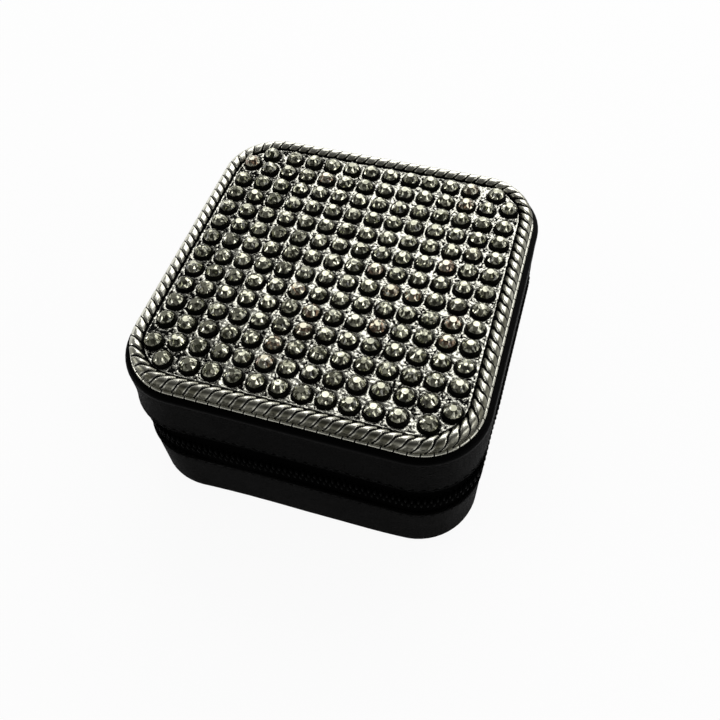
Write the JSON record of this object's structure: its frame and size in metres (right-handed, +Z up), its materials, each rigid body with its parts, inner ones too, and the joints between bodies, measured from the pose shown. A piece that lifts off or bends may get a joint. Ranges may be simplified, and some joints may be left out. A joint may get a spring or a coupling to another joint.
{
  "type": "travel jewellery case",
  "caption": "Square zip-round travel jewellery case in black leather, with a rope-edged rhinestone plate on the hinged lid and ring rolls, compartments and a pocket inside.",
  "frame": {"origin": "centre of the flat bottom face, which the case stands on", "axes": "+Z up through the lid, -Y to the front, +Y to the leather hinge at the back, +X to the right seen from the front"},
  "size_m": [0.1048, 0.1006, 0.0555],
  "materials": {
    "leather": "black cross-grained leather, satin",
    "binding": "smooth glossy black edge binding",
    "board": "greyboard",
    "zip_tape": "black woven tape",
    "zip_coil": "black nylon",
    "black_metal": "glossy black enamel",
    "velvet": "charcoal velvet",
    "pocket_fabric": "charcoal satin velvet",
    "elastic": "gathered elastic",
    "foam_pad": "foam adhesive pad",
    "silver": "antiqued silver, polished on the high spots",
    "dark_silver": "blackened silver",
    "rhinestone": "faceted smoky black-diamond glass, foiled"
  },
  "bodies": {
    "base": {"base_board": "board", "base_leather": "leather", "bottom_leather": "leather", "base_zip_tape": "zip_tape", "base_zip_coil": "zip_coil", "base_zip_stops": "black_metal", "base_lining": "velvet", "centre_wall": "velvet", "ring_roll_1": "velvet", "ring_roll_2": "velvet", "ring_roll_3": "velvet", "ring_roll_4": "velvet", "ring_roll_5": "velvet", "ring_roll_6": "velvet", "spine_base": "leather", "hinge_lining_base": "velvet"},
    "lid": {"lid_board": "board", "lid_leather": "leather", "lid_binding": "binding", "lid_top_leather": "leather", "lid_zip_tape": "zip_tape", "lid_zip_coil": "zip_coil", "lid_zip_stops": "black_metal", "lid_lining": "velvet", "spine_lid": "leather", "hinge_lining_lid": "velvet", "pocket_panel": "pocket_fabric", "pocket_elastic": "elastic", "snap_tab_bar": "leather", "snap_studs": "black_metal", "plate_pad": "foam_pad", "jewel_plate": "silver", "rope_border": "silver", "stone_settings": "dark_silver", "rhinestones": "rhinestone"},
    "slider": {"slider_body": "black_metal"},
    "pull": {"pull_tab": "black_metal"},
    "front_divider": {"divider_front": "velvet"},
    "back_divider": {"divider_back": "velvet"},
    "tab_left": {"snap_tab_1": "leather", "snap_cap_1": "black_metal"},
    "tab_middle": {"snap_tab_2": "leather", "snap_cap_2": "black_metal"},
    "tab_right": {"snap_tab_3": "leather", "snap_cap_3": "black_metal"}
  },
  "joints": [
    {"name": "lid_hinge", "type": "hinge", "parent": "base", "child": "lid", "pos_m": [0, 0.0506, 0.02665], "axis": [-1, 0, 0], "range_deg": [0, 100]},
    {"name": "slider_travel", "type": "slide", "parent": "base", "child": "slider", "axis": [0, -1, 0], "range_m": [0, 0.052]},
    {"name": "pull_swing", "type": "hinge", "parent": "slider", "child": "pull", "pos_m": [-0.05303, 0.026, 0.02665], "axis": [0, 0, -1], "range_deg": [0, 180]},
    {"name": "front_divider_lift", "type": "slide", "parent": "base", "child": "front_divider", "axis": [0, 0, 1], "range_m": [0, 0.0145]},
    {"name": "back_divider_lift", "type": "slide", "parent": "base", "child": "back_divider", "axis": [0, 0, 1], "range_m": [0, 0.0145]},
    {"name": "tab_left_swing", "type": "hinge", "parent": "lid", "child": "tab_left", "pos_m": [-0.025, -0.0413, 0.0428], "axis": [-1, 0, 0], "range_deg": [0, 90]},
    {"name": "tab_middle_swing", "type": "hinge", "parent": "lid", "child": "tab_middle", "pos_m": [0, -0.0413, 0.0428], "axis": [-1, 0, 0], "range_deg": [0, 90]},
    {"name": "tab_right_swing", "type": "hinge", "parent": "lid", "child": "tab_right", "pos_m": [0.025, -0.0413, 0.0428], "axis": [-1, 0, 0], "range_deg": [0, 90]}
  ]
}
